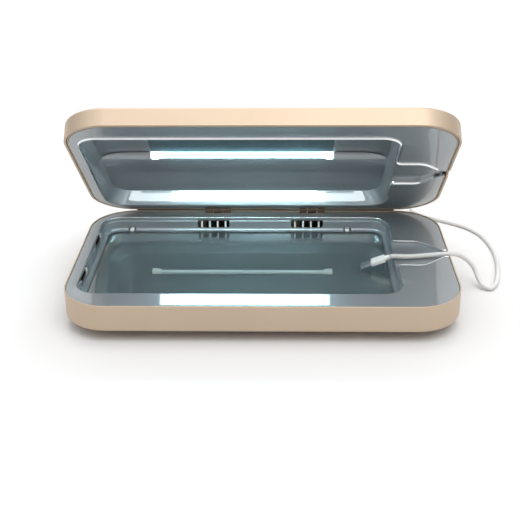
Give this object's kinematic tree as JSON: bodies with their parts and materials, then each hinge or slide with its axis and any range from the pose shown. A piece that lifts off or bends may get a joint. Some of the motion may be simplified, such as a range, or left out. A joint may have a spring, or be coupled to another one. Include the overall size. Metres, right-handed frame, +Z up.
{
  "type": "uv phone sanitizer box",
  "caption": "Flat pebble-shaped box with a hinged lid, mirrored chambers with slim ultraviolet lamps, and a charging lead led in through a side funnel.",
  "frame": {"origin": "middle of the flat part of the base's crowned underside; the feet reach 1.3 mm lower", "axes": "+X to the right along the long side, towards the cable funnel; +Y to the rear, towards the hinges; +Z up"},
  "size_m": [0.2617, 0.1771, 0.1207],
  "materials": {
    "gold_paint": "satin champagne gold",
    "mirror_liner": "smoked mirror-like metallised plastic",
    "quartz": "clear polished",
    "clip_plastic": "white",
    "lamp_glass": "glowing white",
    "lamp_cap": "white ceramic",
    "cover_grey": "grey",
    "black_plastic": "black",
    "steel": "plated",
    "hinge_steel": "dark oxide",
    "board": "green solder mask",
    "magnet": "plated",
    "foot_rubber": "matte",
    "light_lens": "milky clear",
    "lead_white": "white jacket"
  },
  "bodies": {
    "base": {"base_shell": "gold_paint", "base_chamber_deck": "mirror_liner", "quartz_plate": "quartz", "plate_clip_rear_left": "clip_plastic", "plate_clip_rear_right": "clip_plastic", "plate_clip_front_left": "clip_plastic", "plate_clip_front_right": "clip_plastic", "base_lamp_tube": "lamp_glass", "base_lamp_cap_left": "lamp_cap", "base_lamp_cap_right": "lamp_cap", "base_magnet_left": "magnet", "base_magnet_right": "magnet", "hinge_base_leaf_left": "hinge_steel", "hinge_base_leaf_right": "hinge_steel", "hinge_pin_left": "steel", "hinge_pin_right": "steel", "foot_front_left": "foot_rubber", "foot_front_right": "foot_rubber", "foot_rear_left": "foot_rubber", "foot_rear_right": "foot_rubber", "screw_front_left": "steel", "screw_front_right": "steel", "screw_rear_left": "steel", "screw_rear_right": "steel", "control_board": "board", "usb_a_socket": "steel", "usb_c_socket": "steel", "power_inlet": "black_plastic", "lamp_transformer": "black_plastic", "lid_sensor": "black_plastic", "usb_plug_shell": "steel", "usb_plug_grip": "lead_white", "charge_lead": "lead_white", "device_plug_grip": "lead_white", "device_plug_tip": "steel"},
    "lid": {"lid_shell": "gold_paint", "lid_chamber_deck": "mirror_liner", "lid_lamp_tube": "lamp_glass", "lid_lamp_cap_left": "lamp_cap", "lid_lamp_cap_right": "lamp_cap", "lid_lamp_cover_left": "cover_grey", "lid_lamp_cover_right": "cover_grey", "lid_magnet_left": "magnet", "lid_magnet_right": "magnet", "hinge_lid_leaf_left": "hinge_steel", "hinge_lid_leaf_right": "hinge_steel", "indicator_lens": "light_lens", "indicator_board": "board"}
  },
  "joints": [
    {"name": "lid_hinge", "type": "hinge", "parent": "base", "child": "lid", "pos_m": [0, 0.066, 0.02146], "axis": [1, 0, 0], "range_deg": [0, 43.2]}
  ]
}
